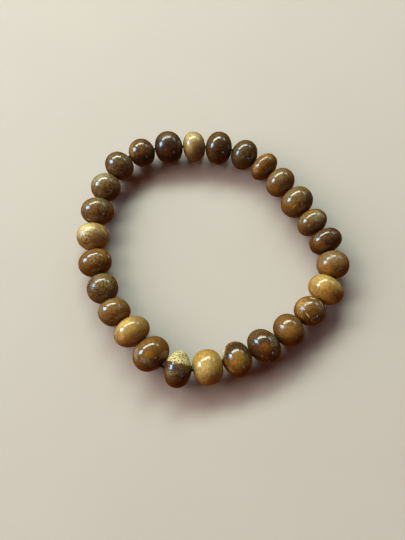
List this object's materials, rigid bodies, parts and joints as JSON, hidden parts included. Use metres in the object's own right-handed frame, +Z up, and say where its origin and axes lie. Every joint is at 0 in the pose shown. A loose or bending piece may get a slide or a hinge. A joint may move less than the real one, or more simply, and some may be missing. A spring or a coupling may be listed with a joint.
{
  "type": "wooden bead stretch bracelet",
  "caption": "Stretch bracelet of polished, slightly flattened wooden beads on an elastic cord, lying as a loose closed loop, worn round the wrist.",
  "frame": {"origin": "middle of the loop's box, on the surface that the bracelet lies on", "axes": "+Z up, square to the plane in which the loop lies; +Y away from the side with the two-tone bead"},
  "size_m": [0.0752, 0.0752, 0.0101],
  "materials": {
    "wood_dark": "gloss",
    "wood_brown": "gloss",
    "wood_tan": "gloss",
    "elastic": "satin"
  },
  "bodies": {
    "root": {"bead_01": "wood_dark", "bead_02": "wood_brown", "bead_03": "wood_tan", "bead_04": "wood_brown", "bead_05": "wood_brown", "bead_06": "wood_brown", "bead_07": "wood_tan", "bead_08": "wood_brown", "bead_09": "wood_brown", "bead_10": "wood_brown", "bead_11": "wood_dark", "bead_12": "wood_dark", "bead_13": "wood_tan", "bead_14": "wood_dark", "bead_15": "wood_brown", "bead_16": "wood_brown", "bead_17": "wood_brown", "bead_18": "wood_brown", "bead_19": "wood_brown", "bead_20": "wood_dark", "bead_21": "wood_brown", "bead_22": "wood_tan", "bead_23": "wood_brown", "bead_24": "wood_brown", "bead_25": "wood_dark", "bead_26": "wood_brown", "bead_27": "wood_tan", "elastic_cord": "elastic"}
  },
  "joints": []
}
